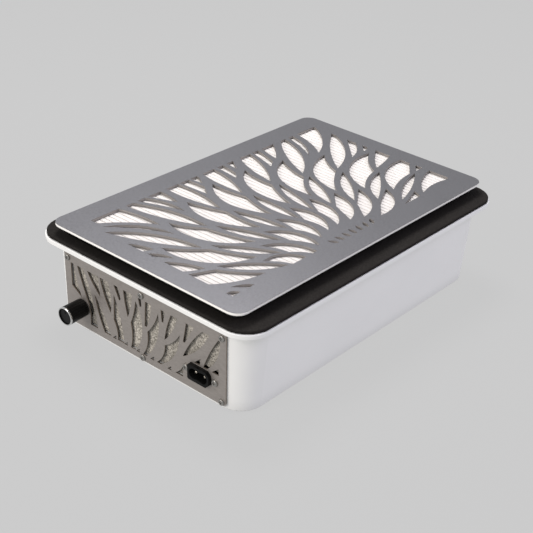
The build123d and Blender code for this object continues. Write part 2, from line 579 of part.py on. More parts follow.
def make_exhaust_panel():
    low = up_slope(PANEL_LOW)
    high = up_slope(PANEL_HIGH)
    panel = Pos(0, (low + high) / 2) * Rectangle(PANEL_WIDTH, high - low)
    panel = fillet(panel.vertices().group_by(Axis.Y)[0], PANEL_LOW_CORNER_R)
    panel = fillet(panel.vertices().group_by(Axis.Y)[-1], PANEL_HIGH_CORNER_R)
    pattern_height = PANEL_PATTERN_TOP - PANEL_PATTERN_LOW
    pattern_middle = (PANEL_PATTERN_TOP + PANEL_PATTERN_LOW) / 2
    window = Pos(-PATTERN_ACROSS, pattern_middle) * Rectangle(2 * EXHAUST_HALF_WIDTH, pattern_height)
    for opening in PANEL_OPENINGS:
        panel -= Pos(PATTERN_ACROSS, PATTERN_UP) * (opening_face(opening) & window)
    for across in PANEL_TEETH:
        tooth = Polyline((-2.2, 0), (2.0, 0), (1.6, TOOTH_HEIGHT), close=True)
        panel -= Pos(PATTERN_ACROSS + across, PATTERN_UP + TOOTH_LOW) * make_face(tooth)
    for across, height in panel_screw_places():
        panel -= Pos(across, up_slope(height)) * Circle(PANEL_SCREW_R + 0.4)
    inlet = Pos(INLET_ACROSS, up_slope(INLET_HEIGHT))
    panel -= inlet * inlet_nose(INLET_NOSE_WIDTH + 0.2, INLET_NOSE_HEIGHT + 0.2)
    for side in (-1, 1):
        panel -= inlet * Pos(side * INLET_SCREW_SPACING / 2, 0) * Circle(INLET_SCREW_R + 0.1)
    panel -= Pos(KNOB_ACROSS, up_slope(KNOB_HEIGHT)) * Circle(POT_THREAD_R + 0.1)
    return PANEL_PLANE.location * extrude(panel, PANEL_THICK)


def make_panel_screws():
    screw = pan_screw(radius=PANEL_SCREW_R, length=PANEL_THICK + WALL - 0.3, head_r=2.5, head_height=1.4)
    return [on_panel(screw, across, height, PANEL_THICK) for across, height in panel_screw_places()]


def make_exhaust_foam():
    """A sheet that fills the tray's opening, notched round the inlet and the potentiometer."""
    low = EXHAUST_LOW + EXHAUST_FOAM_PLAY
    high = EXHAUST_HIGH - EXHAUST_FOAM_PLAY
    sheet = Rectangle(2 * (EXHAUST_HALF_WIDTH - EXHAUST_FOAM_PLAY), up_slope(high - low))
    foam = on_panel(extrude(sheet, -EXHAUST_FOAM_THICK), 0, (low + high) / 2)
    foam -= on_panel(Box(INLET_FLANGE_LENGTH + 0.4, INLET_NOSE_HEIGHT + 2, 40), INLET_ACROSS, INLET_HEIGHT)
    foam -= on_panel(Cylinder(POT_BODY_R + 0.4, 40), KNOB_ACROSS, KNOB_HEIGHT)
    return foam


# ---------------------------------------------------------------- mains inlet
def inlet_nose(width, height):
    """Front outline of the inlet: its outer two corners are cut off, the others only eased."""
    half_w = width / 2
    half_h = height / 2
    cut = INLET_NOSE_CUT
    corners = [
        (-half_w + 1, -half_h), (half_w - cut, -half_h), (half_w, -half_h + cut), (half_w, half_h - cut),
        (half_w - cut, half_h), (-half_w + 1, half_h), (-half_w, half_h - 1), (-half_w, -half_h + 1),
    ]
    return make_face(Polyline(corners, close=True))


def figure_eight(radius):
    """Outline of the inlet's socket: two round lobes with a straight waist."""
    lobes = [Pos(side * INLET_PIN_SPACING / 2, 0) * Circle(radius) for side in (-1, 1)]
    return lobes[0] + lobes[1] + Rectangle(INLET_PIN_SPACING, 2 * radius * 0.86)


def make_inlet_body():
    """Held from behind by its flange, with the nose standing out through the panel."""
    front = PANEL_THICK + INLET_NOSE_PROUD
    body = extrude(inlet_nose(INLET_NOSE_WIDTH, INLET_NOSE_HEIGHT), front)
    body += extrude(SlotOverall(INLET_FLANGE_LENGTH, 8.0), -INLET_FLANGE_THICK)
    body += Pos(0, 0, -7) * Box(INLET_NOSE_WIDTH - 1, INLET_NOSE_HEIGHT - 1, 14)
    socket = extrude(figure_eight(INLET_CAVITY_R), INLET_CAVITY_DEPTH + CUT_OVER)
    body -= Pos(0, 0, front - INLET_CAVITY_DEPTH) * socket
    for side in (-1, 1):
        body -= Pos(side * INLET_SCREW_SPACING / 2, 0, 0) * Cylinder(INLET_SCREW_R + 0.1, 20)
        body -= Pos(side * INLET_PIN_SPACING / 2, 0, -10) * Cylinder(INLET_PIN_R, 20)
    return on_panel(body, INLET_ACROSS, INLET_HEIGHT)


def make_inlet_pins():
    pins = []
    for side in (-1, 1):
        pin = Pos(0, 0, -7.75) * Cylinder(INLET_PIN_R, 18.5)
        pin = fillet(pin.edges().group_by(Axis.Z)[-1], 0.8)
        spade = Pos(0, 0, -18.5) * Box(0.8, 4.0, 7.0)
        across = INLET_ACROSS + side * INLET_PIN_SPACING / 2
        pins.append(on_panel(pin + spade, across, INLET_HEIGHT))
    return pins


def inlet_screw_places():
    return [INLET_ACROSS + side * INLET_SCREW_SPACING / 2 for side in (-1, 1)]


def make_inlet_screws():
    screw = pan_screw(radius=INLET_SCREW_R, length=8.0, head_r=2.6, head_height=1.5)
    return [on_panel(screw, across, INLET_HEIGHT, PANEL_THICK) for across in inlet_screw_places()]


def make_inlet_nuts():
    nut = extrude(RegularPolygon(3.1, 6) - Circle(INLET_SCREW_R), -2.4)
    return [on_panel(nut, across, INLET_HEIGHT, -INLET_FLANGE_THICK) for across in inlet_screw_places()]


# ---------------------------------------------------------------- speed knob
def make_pot_body():
    """The potentiometer: can, threaded neck through the panel, three solder lugs at the back."""
    can = Pos(0, 0, -5.5) * Cylinder(POT_BODY_R, 9.0)
    neck = Pos(0, 0, 1.0) * Cylinder(POT_THREAD_R, 5.0)
    pot = can + neck + Pos(0, 0, -0.75) * Box(10, 10, 1.5)
    for lug in (-4.0, 0.0, 4.0):
        pot += Pos(lug, -3.0, -12.5) * Box(1.6, 0.6, 6.0)
    pot -= Pos(0, 0, 2.0) * Cylinder(POT_SHAFT_R + SHAFT_CLEARANCE, 10)
    return on_panel(pot, KNOB_ACROSS, KNOB_HEIGHT)


def make_pot_washer():
    washer = extrude(Circle(5.6) - Circle(POT_THREAD_R + 0.1), POT_WASHER_THICK)
    return on_panel(washer, KNOB_ACROSS, KNOB_HEIGHT, PANEL_THICK)


def make_pot_nut():
    nut = extrude(RegularPolygon(5.4, 6) - Circle(POT_THREAD_R), POT_NUT_THICK)
    return on_panel(nut, KNOB_ACROSS, KNOB_HEIGHT, PANEL_THICK + POT_WASHER_THICK)


def make_pot_shaft():
    """Round where it turns in the neck, then a D that the knob pushes onto."""
    shaft = Pos(0, 0, 6.9) * Cylinder(POT_SHAFT_R, 19.0)
    flat = block(-4, 4, POT_FLAT + 0.2, POT_FLAT + 4.2, 8.0, 17.2)
    return on_panel(shaft - flat, KNOB_ACROSS, KNOB_HEIGHT)


def make_knob_cap():
    """Long fluted knob, hollow at the back so that it covers the nut."""
    body = loft([Circle(KNOB_BASE_R), Pos(0, 0, KNOB_LENGTH) * Circle(KNOB_FRONT_R)])
    body = chamfer(body.edges().group_by(Axis.Z)[0], 0.4)
    lean = degrees((KNOB_FRONT_R - KNOB_BASE_R) / KNOB_LENGTH)
    middle_r = (KNOB_FRONT_R + KNOB_BASE_R) / 2
    for flute in range(KNOB_FLUTES):
        turn = Rot(0, 0, flute * 360 / KNOB_FLUTES)
        groove = Rot(0, lean, 0) * Cylinder(KNOB_FLUTE_R, KNOB_LENGTH - 3.4)
        body -= turn * Pos(middle_r + 0.35, 0, KNOB_LENGTH / 2 - 1.4) * groove
    body -= upright(KNOB_HOLLOW_R, -CUT_OVER, KNOB_HOLLOW_DEEP)
    body -= upright(KNOB_FACE_R, KNOB_LENGTH - KNOB_FACE_BED, KNOB_LENGTH + CUT_OVER)
    ring_r = KNOB_FRONT_R - KNOB_RING_WIDTH
    body -= ring(KNOB_FRONT_R + 1, ring_r, KNOB_LENGTH - KNOB_RING_DEEP, KNOB_LENGTH + CUT_OVER)
    bore = upright(POT_SHAFT_R, 0.8, 15.2)
    bore -= block(-4, 4, POT_FLAT + 0.2, POT_FLAT + 4.2, 6.8, 17.2)
    return on_panel(body - bore, KNOB_ACROSS, KNOB_HEIGHT, PANEL_THICK + KNOB_OFF_PANEL)


def make_knob_ring():
    """Bright ring round the knob's front edge."""
    band = extrude(Circle(KNOB_FRONT_R) - Circle(KNOB_FRONT_R - KNOB_RING_WIDTH), KNOB_RING_DEEP)
    rims = band.edges().group_by(Axis.Z)[-1].sort_by(SortBy.LENGTH)
    band = chamfer(rims[-1], 0.25)
    return on_panel(band, KNOB_ACROSS, KNOB_HEIGHT, KNOB_TIP - KNOB_RING_DEEP)


def make_knob_face():
    """Dark disc let into the front of the knob, with a pointer groove."""
    thick = KNOB_FACE_BED - KNOB_FACE_SUNK
    face = extrude(Circle(KNOB_FACE_R), thick) - Pos(0, 3.6, thick) * Box(0.7, 3.2, 0.6)
    return on_panel(face, KNOB_ACROSS, KNOB_HEIGHT, KNOB_TIP - KNOB_FACE_BED)


# ---------------------------------------------------------------- blowers
DUCT_HIGH = BLOWER_LOW + BLOWER_HEIGHT
DUCT_FAR = BULKHEAD_X + BULKHEAD_THICK + DUCT_SEAL_THICK
WHEEL_LOW = BLOWER_LOW + BLOWER_WALL + IMPELLER_RISE


def volute_outline(margin):
    """Plan of the blower about its own axis, with its outlet towards -X at the low-Y side."""
    reach = BLOWER_X - DUCT_FAR
    middle = Pos(-reach / 2, -BLOWER_R + BLOWER_DUCT_WIDTH / 2)
    duct = middle * Rectangle(reach, BLOWER_DUCT_WIDTH - 2 * margin)
    return Circle(BLOWER_R - margin) + duct


def make_blower_case(place):
    """Open-topped scroll with a bearing tube in its middle and three screw ears."""
    low = BLOWER_LOW
    high = DUCT_HIGH - BLOWER_WALL
    case = Pos(0, 0, low) * extrude(volute_outline(0), high - low)
    case -= Pos(0, 0, low + BLOWER_WALL) * extrude(volute_outline(BLOWER_WALL), high)
    case += upright(BEARING_TUBE_R, low, low + 22)
    case -= upright(BEARING_R, low + 1.0, low + 23)
    for x, y in BLOWER_EARS:
        ear = Pos(x, y, 0)
        case += ear * upright(BLOWER_EAR_R, low, low + BLOWER_EAR_THICK)
        case -= ear * upright(1.7, low - CUT_OVER, low + BLOWER_EAR_THICK + CUT_OVER)
    return place * case


def make_blower_cover(place):
    cover = Pos(0, 0, DUCT_HIGH - BLOWER_WALL) * extrude(volute_outline(0), BLOWER_WALL)
    bell = ring(BLOWER_INLET_R + 2.0, BLOWER_INLET_R, DUCT_HIGH - BLOWER_WALL - 1.5, DUCT_HIGH + 1.0)
    cover -= upright(BLOWER_INLET_R, DUCT_HIGH - BLOWER_WALL - CUT_OVER, DUCT_HIGH + CUT_OVER)
    return place * (cover + bell)


def make_blower_stator(place):
    """Wound stator pressed on the case's bearing tube, over its small drive board."""
    low = BLOWER_LOW + BLOWER_WALL
    board = ring(13.0, BEARING_TUBE_R, low + 1.0, low + 2.2)
    core = ring(6.2, BEARING_TUBE_R, low + 2.2, low + 15)
    stator = board + core
    for arm in range(4):
        turn = Rot(0, 0, 45 + 90 * arm)
        stator += turn * block(5.5, 11.0, -2.6, 2.6, low + 5, low + 13)
        shoe = (ring(12.2, 10.4, low + 4, low + 14)) & (turn * block(6, 14, -6.5, 6.5, low + 4, low + 14))
        stator += shoe
    return place * stator


def make_blower_impeller(place):
    """Rotor cup, back plate, blades and the ring that ties the blade tips."""
    low = WHEEL_LOW
    high = DUCT_HIGH - BLOWER_WALL - 2.2
    cup_top = low + ROTOR_HEIGHT
    cup = ring(ROTOR_R, ROTOR_R - 2.4, low, cup_top) + upright(ROTOR_R, cup_top - 1.5, cup_top)
    plate = ring(IMPELLER_R, ROTOR_R - 1, low, low + 1.2)
    wheel = cup + plate
    wheel += ring(IMPELLER_R, IMPELLER_R - 1.2, high - 1.5, high)
    blade = Pos(30.5, 0, 0) * Rot(0, 0, 38) * block(-5.4, 5.4, -0.5, 0.5, low, high - 1.4)
    tip = upright(IMPELLER_R, low, high)
    for index in range(IMPELLER_BLADES):
        wheel += (Rot(0, 0, index * 360 / IMPELLER_BLADES) * blade) & tip
    wheel -= upright(MOTOR_SHAFT_R, low, high + 5)
    return place * wheel


def make_blower_shaft(place):
    return place * upright(MOTOR_SHAFT_R, BLOWER_LOW + 2.6, WHEEL_LOW + ROTOR_HEIGHT)


def make_blower_bearings(place):
    bearings = []
    for low in (BLOWER_LOW + 4.0, BLOWER_LOW + 17.5):
        bearings.append(place * ring(BEARING_R, MOTOR_SHAFT_R + SHAFT_CLEARANCE, low, low + BEARING_HEIGHT))
    return bearings


def make_blower_screws():
    screw = pan_screw(radius=SMALL_SCREW_R, length=5.5, head_r=2.6, head_height=1.5)
    return [place * Pos(0, 0, BLOWER_LOW + BLOWER_EAR_THICK) * screw for place in blower_screw_places()]


def blower_place(side):
    return Pos(BLOWER_X, side * BLOWER_Y, 0)


# ---------------------------------------------------------------- bulkhead
def duct_mouth(side, x0, x1, margin):
    """A block through one blower's outlet."""
    middle = side * BLOWER_Y - BLOWER_R + BLOWER_DUCT_WIDTH / 2
    half = BLOWER_DUCT_WIDTH / 2 - margin
    return block(x0, x1, middle - half, middle + half, BLOWER_LOW + margin, DUCT_HIGH - margin)


def make_bulkhead():
    wall = block(BULKHEAD_X, BULKHEAD_X + BULKHEAD_THICK, -100, 100, FLOOR_TOP, SEAT_LEDGE_BOTTOM - 0.3)
    wall &= tray_cavity(WALL + 0.2, FLOOR_TOP, SEAT_LEDGE_BOTTOM)
    for side in (-1, 1):
        wall -= duct_mouth(side, BULKHEAD_X - CUT_OVER, BULKHEAD_X + BULKHEAD_THICK + CUT_OVER, BLOWER_WALL)
    hole = Pos(BULKHEAD_X, GROMMET_Y, GROMMET_HEIGHT) * Rot(0, 90, 0) * Cylinder(GROMMET_NECK_R, 20)
    return wall - hole


def make_wire_grommet():
    middle = BULKHEAD_X + BULKHEAD_THICK / 2
    groove = Cylinder(GROMMET_R + 1, BULKHEAD_THICK) - Cylinder(GROMMET_NECK_R, BULKHEAD_THICK)
    grommet = Cylinder(GROMMET_R, BULKHEAD_THICK + 2 * GROMMET_LIP) - groove - Cylinder(GROMMET_BORE_R, 20)
    return Pos(middle, GROMMET_Y, GROMMET_HEIGHT) * Rot(0, 90, 0) * grommet


def make_duct_seals():
    near = BULKHEAD_X + BULKHEAD_THICK
    seals = []
    for side in (-1, 1):
        pad = duct_mouth(side, near, near + DUCT_SEAL_THICK, 0)
        mouth = duct_mouth(side, near - CUT_OVER, near + DUCT_SEAL_THICK + CUT_OVER, BLOWER_WALL)
        seals.append(pad - mouth)
    return seals


# ---------------------------------------------------------------- power supply
PSU_TOP = PSU_LOW + PSU_BOARD_THICK


def at_psu(x, y, z=0.0):
    return Pos(PSU_X + x, y, z)


def make_psu_board():
    board = at_psu(0, 0) * slab(PSU_LENGTH, PSU_WIDTH, 2.0, PSU_LOW, PSU_TOP)
    return board - [at_psu(x, y) * upright(1.7, 0, 30) for x, y in PSU_HOLES]


def make_psu_standoffs():
    post = ring(3.0, SMALL_SCREW_R, FLOOR_TOP, PSU_LOW)
    return [at_psu(x, y) * post for x, y in PSU_HOLES]


def make_psu_screws():
    screw = pan_screw(radius=SMALL_SCREW_R, length=6.0, head_r=2.7, head_height=1.7)
    return [at_psu(x, y, PSU_TOP) * screw for x, y in PSU_HOLES]


def make_psu_transformer():
    """Ferrite core with a window through it for the coil."""
    low = PSU_TOP
    core = block(-13, 13, -10, 10, low + 4, low + 21) - block(-10, 10, -11, 11, low + 7, low + 18)
    return at_psu(6, 4) * (core + block(-4, 4, -10, 10, low + 6, low + 19))


def make_psu_coil():
    """Taped coil round the core's middle limb, on its bobbin foot."""
    low = PSU_TOP
    coil = block(-9.6, 9.6, -14, 14, low + 7.2, low + 17.8) - block(-4, 4, -15, 15, low + 6, low + 19)
    foot = block(-9.6, 9.6, -14, -11, low, low + 8) + block(-9.6, 9.6, 11, 14, low, low + 8)
    return at_psu(6, 4) * (coil + foot)


def capacitor(radius, height):
    can = upright(radius, PSU_TOP, PSU_TOP + height)
    can = fillet(can.edges().group_by(Axis.Z)[-1], 0.8)
    return can - Pos(0, 0, PSU_TOP + height) * (Box(radius * 1.4, 0.4, 0.5) + Box(0.4, radius * 1.4, 0.5))


def make_psu_capacitors():
    cans = [
        (-22, 14, 9.0, 26.0),
        (-20, -12, 5.0, 18.0),
        (30, 18, 5.0, 20.0),
        (30, 6, 5.0, 20.0),
        (41, 6, 4.0, 14.0),
    ]
    return [at_psu(x, y) * capacitor(radius, height) for x, y, radius, height in cans]


def make_psu_heatsink():
    sink = block(-18, 18, -1.0, 1.0, PSU_TOP, PSU_TOP + 24)
    for fin in range(7):
        x = -16.5 + 5.5 * fin
        sink += block(x - 0.6, x + 0.6, 0.5, 6.5, PSU_TOP + 2, PSU_TOP + 24)
    return at_psu(16, -22) * sink


TERMINAL_TOP = PSU_TOP + 10
MAINS_TERMINAL = (-45.0, 6.5)
KNOB_TERMINAL = (-45.0, -12.0)
FAN_TERMINAL = (45.0, -12.0)


def screw_terminal(poles):
    """Terminal block with one sunk screw for each pole."""
    half = 3.0 if poles == 2 else 3.5
    body = block(-4, 4, -half - 3, half + 3, PSU_TOP, TERMINAL_TOP)
    for pole in range(poles):
        y = half * (2 * pole / (poles - 1) - 1)
        body -= Pos(0, y, TERMINAL_TOP) * Cylinder(1.5, 3)
    return body


def make_psu_terminals():
    return [
        at_psu(*MAINS_TERMINAL) * screw_terminal(2),
        at_psu(*KNOB_TERMINAL) * screw_terminal(3),
        at_psu(*FAN_TERMINAL) * screw_terminal(2),
    ]


# ---------------------------------------------------------------- inner wiring
TERMINAL_WIRE_HEIGHT = PSU_TOP + 4.5
LEAD_BEND = 6.0


def lead(points, diameter):
    """A wire along straight runs joined by arcs as large as the runs allow, up to LEAD_BEND."""
    corners = [Vector(*point) for point in points]
    radii = []
    for before, corner, after in zip(corners, corners[1:], corners[2:]):
        turn = radians((corner - before).get_angle(after - corner))
        shorter = min((corner - before).length, (after - corner).length)
        radii.append(min(LEAD_BEND, 0.45 * shorter / tan(turn / 2)))
    path = FilletPolyline(*corners, radius=radii)
    section = Plane(origin=path @ 0, z_dir=path % 0) * Circle(diameter / 2)
    return sweep(section, path=path)


def make_mains_leads():
    """From the inlet's spades, through the grommet and between the blowers, to the supply."""
    leads = []
    run = GROMMET_HEIGHT + 0.9
    end_x = PSU_X + MAINS_TERMINAL[0] - 4.1
    for side in (-1, 1):
        start_y = -INLET_ACROSS + side * INLET_PIN_SPACING / 2
        apart = 1.35 * side
        end_y = MAINS_TERMINAL[1] + 3.0 * side
        leads.append(lead([
            (-124.5, start_y, 21.5),
            (-118.0 - apart, start_y, 21.5),
            (-118.0 - apart, GROMMET_Y + apart, run),
            (-98.0, GROMMET_Y + apart, run),
            (-84.0, apart, run),
            (-8.0, apart, run),
            (24.0, end_y, TERMINAL_WIRE_HEIGHT),
            (end_x, end_y, TERMINAL_WIRE_HEIGHT),
        ], 2.2))
    return leads


def make_knob_leads():
    """Three thin wires from the knob's solder lugs to the supply, under the mains leads."""
    leads = []
    run = GROMMET_HEIGHT - 2.2
    end_x = PSU_X + KNOB_TERMINAL[0] - 4.1
    for wire in (-1, 0, 1):
        start_y = -KNOB_ACROSS + 4.0 * wire
        apart = 1.4 * wire
        end_y = KNOB_TERMINAL[1] + 3.5 * wire
        leads.append(lead([
            (-130.6, start_y, 21.0),
            (-124.5 + apart, start_y, 21.0),
            (-124.5 + apart, GROMMET_Y + apart, run),
            (-98.0, GROMMET_Y + apart, run),
            (-84.0, apart, run),
            (-8.0, apart, run),
            (24.0, end_y, TERMINAL_WIRE_HEIGHT),
            (end_x, end_y, TERMINAL_WIRE_HEIGHT),
        ], 1.1))
    return leads


def make_fan_leads():
    """One pair to each blower, round the end of the supply and along the floor."""
    leads = []
    start_x = PSU_X + FAN_TERMINAL[0] + 4.1
    for side in (-1, 1):
        for wire in (-1, 1):
            apart = 0.9 * wire
            start_y = FAN_TERMINAL[1] + 3.0 * side + apart
            floor = FLOOR_TOP + 0.9
            leads.append(lead([
                (start_x, start_y, TERMINAL_WIRE_HEIGHT),
                (138.5 - side * apart, start_y, TERMINAL_WIRE_HEIGHT),
                (138.5 - side * apart, side * BLOWER_Y - apart, floor),
                (-4.0, side * BLOWER_Y - apart, floor),
                (BLOWER_X + BLOWER_R + 0.7, side * BLOWER_Y - apart, BLOWER_LOW + 4),
            ], 1.4))
    return leads


# ---------------------------------------------------------------- build
def main():
    os.makedirs("parts", exist_ok=True)
    save("tray", make_tray())
    save("rubber_feet", Part() + make_rubber_feet())
    save("feet_screws", Part() + make_feet_screws())
    save("foam_gasket", make_foam_gasket())
    save("filter_seat", make_filter_seat())
    save("seat_screws", Part() + make_seat_screws())
    save("filter_gasket", make_filter_gasket())
    save("filter_frame", make_filter_frame())
    save("plate_magnets", Part() + make_plate_magnets())
    save("pleat_pack", make_pleat_pack())
    save("grille_plate", make_grille_plate())
    save("exhaust_panel", make_exhaust_panel())
    save("panel_screws", Part() + make_panel_screws())
    save("exhaust_foam", make_exhaust_foam())
    save("inlet_body", make_inlet_body())
    save("inlet_pins", Part() + make_inlet_pins())
    save("inlet_screws", Part() + make_inlet_screws())
    save("inlet_nuts", Part() + make_inlet_nuts())
    save("pot_body", make_pot_body())
    save("pot_washer", make_pot_washer())
    save("pot_nut", make_pot_nut())
    save("pot_shaft", make_pot_shaft())
    save("knob_cap", make_knob_cap())
    save("knob_ring", make_knob_ring())
    save("knob_face", make_knob_face())
    for name, side in (("blower_a", -1), ("blower_b", 1)):
        place = blower_place(side)
        save(f"{name}_case", make_blower_case(place))
        save(f"{name}_cover", make_blower_cover(place))
        save(f"{name}_stator", make_blower_stator(place))
        save(f"{name}_impeller", make_blower_impeller(place))
        save(f"{name}_shaft", make_blower_shaft(place))
        save(f"{name}_bearings", Part() + make_blower_bearings(place))
    save("blower_screws", Part() + make_blower_screws())
    save("bulkhead", make_bulkhead())
    save("wire_grommet", make_wire_grommet())
    save("duct_seals", Part() + make_duct_seals())
    save("psu_board", make_psu_board())
    save("psu_standoffs", Part() + make_psu_standoffs())
    save("psu_screws", Part() + make_psu_screws())
    save("psu_transformer", make_psu_transformer())
    save("psu_coil", make_psu_coil())
    save("psu_capacitors", Part() + make_psu_capacitors())
    save("psu_heatsink", make_psu_heatsink())
    save("psu_terminals", Part() + make_psu_terminals())
    save("mains_leads", Part() + make_mains_leads())
    save("fan_leads", Part() + make_fan_leads())
    save("knob_leads", Part() + make_knob_leads())


main()
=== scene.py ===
"""Looks of the desktop nail dust collector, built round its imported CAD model.

Lengths in the lists below are millimetres and are multiplied by MM.  Blender works in metres, in the
CAD model's own frame: +Z up, the exhaust panel on -X, the mains inlet on its -Y side.
"""
import json
import math

import bpy
from mathutils import Matrix, Vector, noise


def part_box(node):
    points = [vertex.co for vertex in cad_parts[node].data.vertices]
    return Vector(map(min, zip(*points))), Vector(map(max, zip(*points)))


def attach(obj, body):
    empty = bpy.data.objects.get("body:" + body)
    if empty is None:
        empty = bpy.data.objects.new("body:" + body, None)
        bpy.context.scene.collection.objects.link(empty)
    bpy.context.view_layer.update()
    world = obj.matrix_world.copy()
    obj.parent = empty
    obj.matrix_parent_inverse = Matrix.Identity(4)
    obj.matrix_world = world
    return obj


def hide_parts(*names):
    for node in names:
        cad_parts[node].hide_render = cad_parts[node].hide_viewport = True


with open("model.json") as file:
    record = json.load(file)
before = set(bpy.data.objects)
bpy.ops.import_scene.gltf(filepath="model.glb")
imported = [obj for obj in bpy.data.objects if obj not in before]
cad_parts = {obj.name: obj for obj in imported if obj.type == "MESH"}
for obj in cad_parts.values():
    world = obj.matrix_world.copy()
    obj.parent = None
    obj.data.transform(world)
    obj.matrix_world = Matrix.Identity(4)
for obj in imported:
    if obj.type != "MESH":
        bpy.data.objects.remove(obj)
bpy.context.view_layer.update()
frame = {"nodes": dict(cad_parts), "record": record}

MM = 0.001
NODES = frame["nodes"]

TRAY_LOW, TRAY_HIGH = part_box("tray")
TRAY_MIDDLE = Vector(((TRAY_LOW.x + TRAY_HIGH.x) / 2, (TRAY_LOW.y + TRAY_HIGH.y) / 2, TRAY_LOW.z))
PANEL_LEAN = math.radians(2.59)
PANEL_OUT = Vector((-math.cos(PANEL_LEAN), 0, -math.sin(PANEL_LEAN)))


# ---------------------------------------------------------------- material building blocks
def new_material(name, colour, roughness, metallic=0.0, **constants):
    """A Principled material; constants are further socket values by name, such as Coat_Weight."""
    material = bpy.data.materials.new(name)
    material.use_nodes = True
    shader = material.node_tree.nodes["Principled BSDF"]
    shader.inputs["Base Color"].default_value = (*colour, 1)
    shader.inputs["Roughness"].default_value = roughness
    shader.inputs["Metallic"].default_value = metallic
    for socket, value in constants.items():
        shader.inputs[socket.replace("_", " ")].default_value = value
    return material


def add_node(material, kind, **values):
    node = material.node_tree.nodes.new(kind)
    for name, value in values.items():
        setattr(node, name, value)
    return node


def connect(material, source, target):
    material.node_tree.links.new(source, target)


def shader_of(material):
    return material.node_tree.nodes["Principled BSDF"]


def place_in_space(material, stretch=(1, 1, 1)):
    """The position in the piece's own frame, stretched along its axes."""
    where = add_node(material, "ShaderNodeTexCoord")
    mapping = add_node(material, "ShaderNodeMapping")
    mapping.inputs["Scale"].default_value = stretch
    connect(material, where.outputs["Object"], mapping.inputs["Vector"])
    return mapping.outputs["Vector"]


def noise_field(material, size, stretch=(1, 1, 1), detail=3.0, rough=0.55):
    """Cloudy noise whose blobs are about size metres across."""
    field = add_node(material, "ShaderNodeTexNoise")
    field.inputs["Scale"].default_value = 1 / size
    field.inputs["Detail"].default_value = detail
    field.inputs["Roughness"].default_value = rough
    connect(material, place_in_space(material, stretch), field.inputs["Vector"])
    return field.outputs["Fac"]


def cell_field(material, size, stretch=(1, 1, 1)):
    """Distance inside cells about size metres across."""
    field = add_node(material, "ShaderNodeTexVoronoi")
    field.inputs["Scale"].default_value = 1 / size
    connect(material, place_in_space(material, stretch), field.inputs["Vector"])
    return field.outputs["Distance"]


def remap(material, value, low, high, from_low=0.3, from_high=0.7):
    """A value taken from its own usual span to low..high."""
    span = add_node(material, "ShaderNodeMapRange")
    span.inputs["From Min"].default_value = from_low
    span.inputs["From Max"].default_value = from_high
    span.inputs["To Min"].default_value = low
    span.inputs["To Max"].default_value = high
    connect(material, value, span.inputs["Value"])
    return span.outputs["Result"]


def mix_colours(material, share, first, second):
    """A colour between first and second; each is a colour or another node's output."""
    mix = add_node(material, "ShaderNodeMix", data_type="RGBA")
    connect(material, share, mix.inputs[0])
    for socket, colour in ((mix.inputs[6], first), (mix.inputs[7], second)):
        if isinstance(colour, tuple):
            socket.default_value = (*colour, 1)
        else:
            connect(material, colour, socket)
    return mix.outputs[2]


def scaled(colour, factor):
    return tuple(factor * channel for channel in colour)


def set_colour(material, colour):
    connect(material, colour, shader_of(material).inputs["Base Color"])


def set_metallic(material, value):
    connect(material, value, shader_of(material).inputs["Metallic"])


def set_roughness(material, value):
    connect(material, value, shader_of(material).inputs["Roughness"])


def add_bump(material, height, depth, strength=1.0):
    """Surface relief of about depth metres, on top of any relief already there."""
    bump = add_node(material, "ShaderNodeBump")
    bump.inputs["Strength"].default_value = strength
    bump.inputs["Distance"].default_value = depth
    connect(material, height, bump.inputs["Height"])
    normal = shader_of(material).inputs["Normal"]
    if normal.is_linked:
        connect(material, normal.links[0].from_socket, bump.inputs["Normal"])
    connect(material, bump.outputs["Normal"], normal)


def facing(material, direction):
    """1 where the surface faces along direction or against it, 0 where it is edge-on."""
    geometry = add_node(material, "ShaderNodeNewGeometry")
    along = add_node(material, "ShaderNodeVectorMath", operation="DOT_PRODUCT")
    along.inputs[1].default_value = direction
    connect(material, geometry.outputs["True Normal"], along.inputs[0])
    size = add_node(material, "ShaderNodeMath", operation="ABSOLUTE")
    connect(material, along.outputs["Value"], size.inputs[0])
    return size.outputs["Value"]


def beyond(material, centre, half_size):
    """0 inside an upright box round centre, 1 once a few tenths of a millimetre outside it."""
    where = add_node(material, "ShaderNodeTexCoord")
    offset = add_node(material, "ShaderNodeVectorMath", operation="SUBTRACT")
    offset.inputs[1].default_value = centre
    connect(material, where.outputs["Object"], offset.inputs[0])
    size = add_node(material, "ShaderNodeVectorMath", operation="ABSOLUTE")
    connect(material, offset.outputs["Vector"], size.inputs[0])
    past = add_node(material, "ShaderNodeVectorMath", operation="SUBTRACT")
    past.inputs[1].default_value = half_size
    connect(material, size.outputs["Vector"], past.inputs[0])
    split = add_node(material, "ShaderNodeSeparateXYZ")
    connect(material, past.outputs["Vector"], split.inputs[0])
    most = add_node(material, "ShaderNodeMath", operation="MAXIMUM")
    connect(material, split.outputs["X"], most.inputs[0])
    connect(material, split.outputs["Y"], most.inputs[1])
    return remap(material, most.outputs["Value"], 0, 1, 0.0, 0.3 * MM)


def openness(material, reach):
    """0 deep in a corner or under an overhang, 1 on a surface with nothing within reach of it; the mask
    for painted shade.
    """
    hidden = add_node(material, "ShaderNodeAmbientOcclusion")
    hidden.samples = 16
    hidden.inputs["Distance"].default_value = reach
    return remap(material, hidden.outputs["AO"], 0, 1, 0.0, 0.8)


# Painted shade: the white plastic's colour is darkened to this share within this reach of other
# surfaces.
PAINTED_SHADE_REACH = 22 * MM
PAINTED_CORNER_SHADE = 0.62


